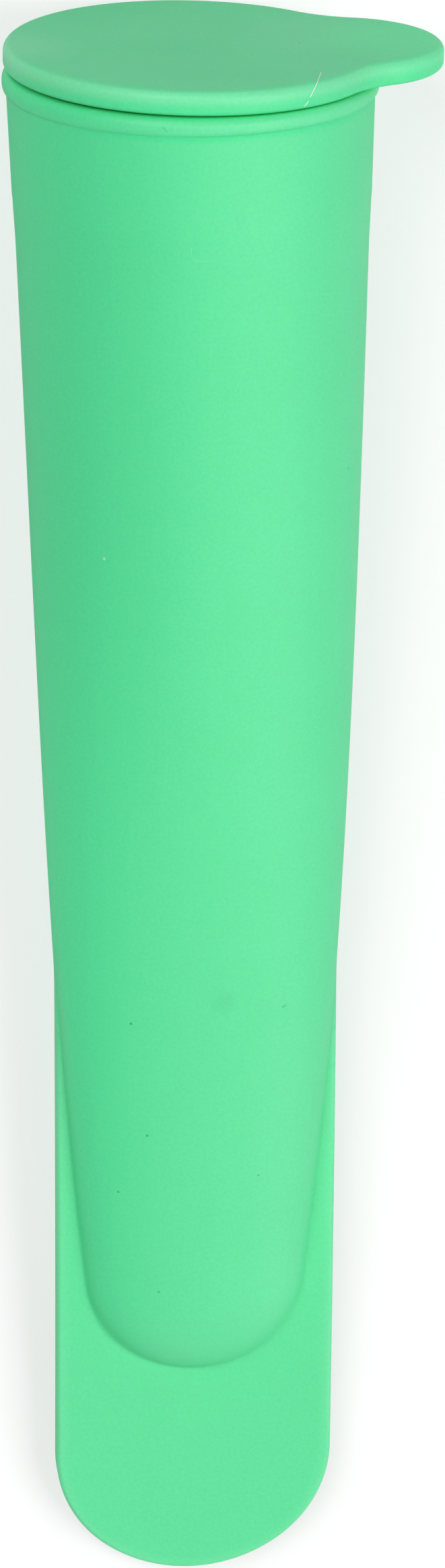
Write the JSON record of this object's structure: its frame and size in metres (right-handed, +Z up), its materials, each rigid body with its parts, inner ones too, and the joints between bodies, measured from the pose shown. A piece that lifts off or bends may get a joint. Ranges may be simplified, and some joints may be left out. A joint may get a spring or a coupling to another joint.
{
  "type": "ice pop mold",
  "caption": "Soft push-up ice pop mold: a round mouth flattening into a pocket and a flat round-ended tongue, closed by a plug-in lid with a pull tab.",
  "frame": {"origin": "middle of the underside of the mould's box, on the surface that the mould lies on", "axes": "+Y up the tube towards the lid, +X towards the pull tab, +Z up; the tube lies on its back with its axis rising towards the lid"},
  "size_m": [0.0528, 0.2018, 0.0452],
  "materials": {
    "silicone_tube": "matte, slightly translucent",
    "silicone_lid": "matte, slightly translucent"
  },
  "bodies": {
    "tube": {"mold_tube": "silicone_tube"},
    "lid": {"lid": "silicone_lid"}
  },
  "joints": [
    {"name": "lid_pull", "type": "slide", "parent": "tube", "child": "lid", "axis": [0, 0.9948, 0.1017], "range_m": [0, 0.055]}
  ]
}
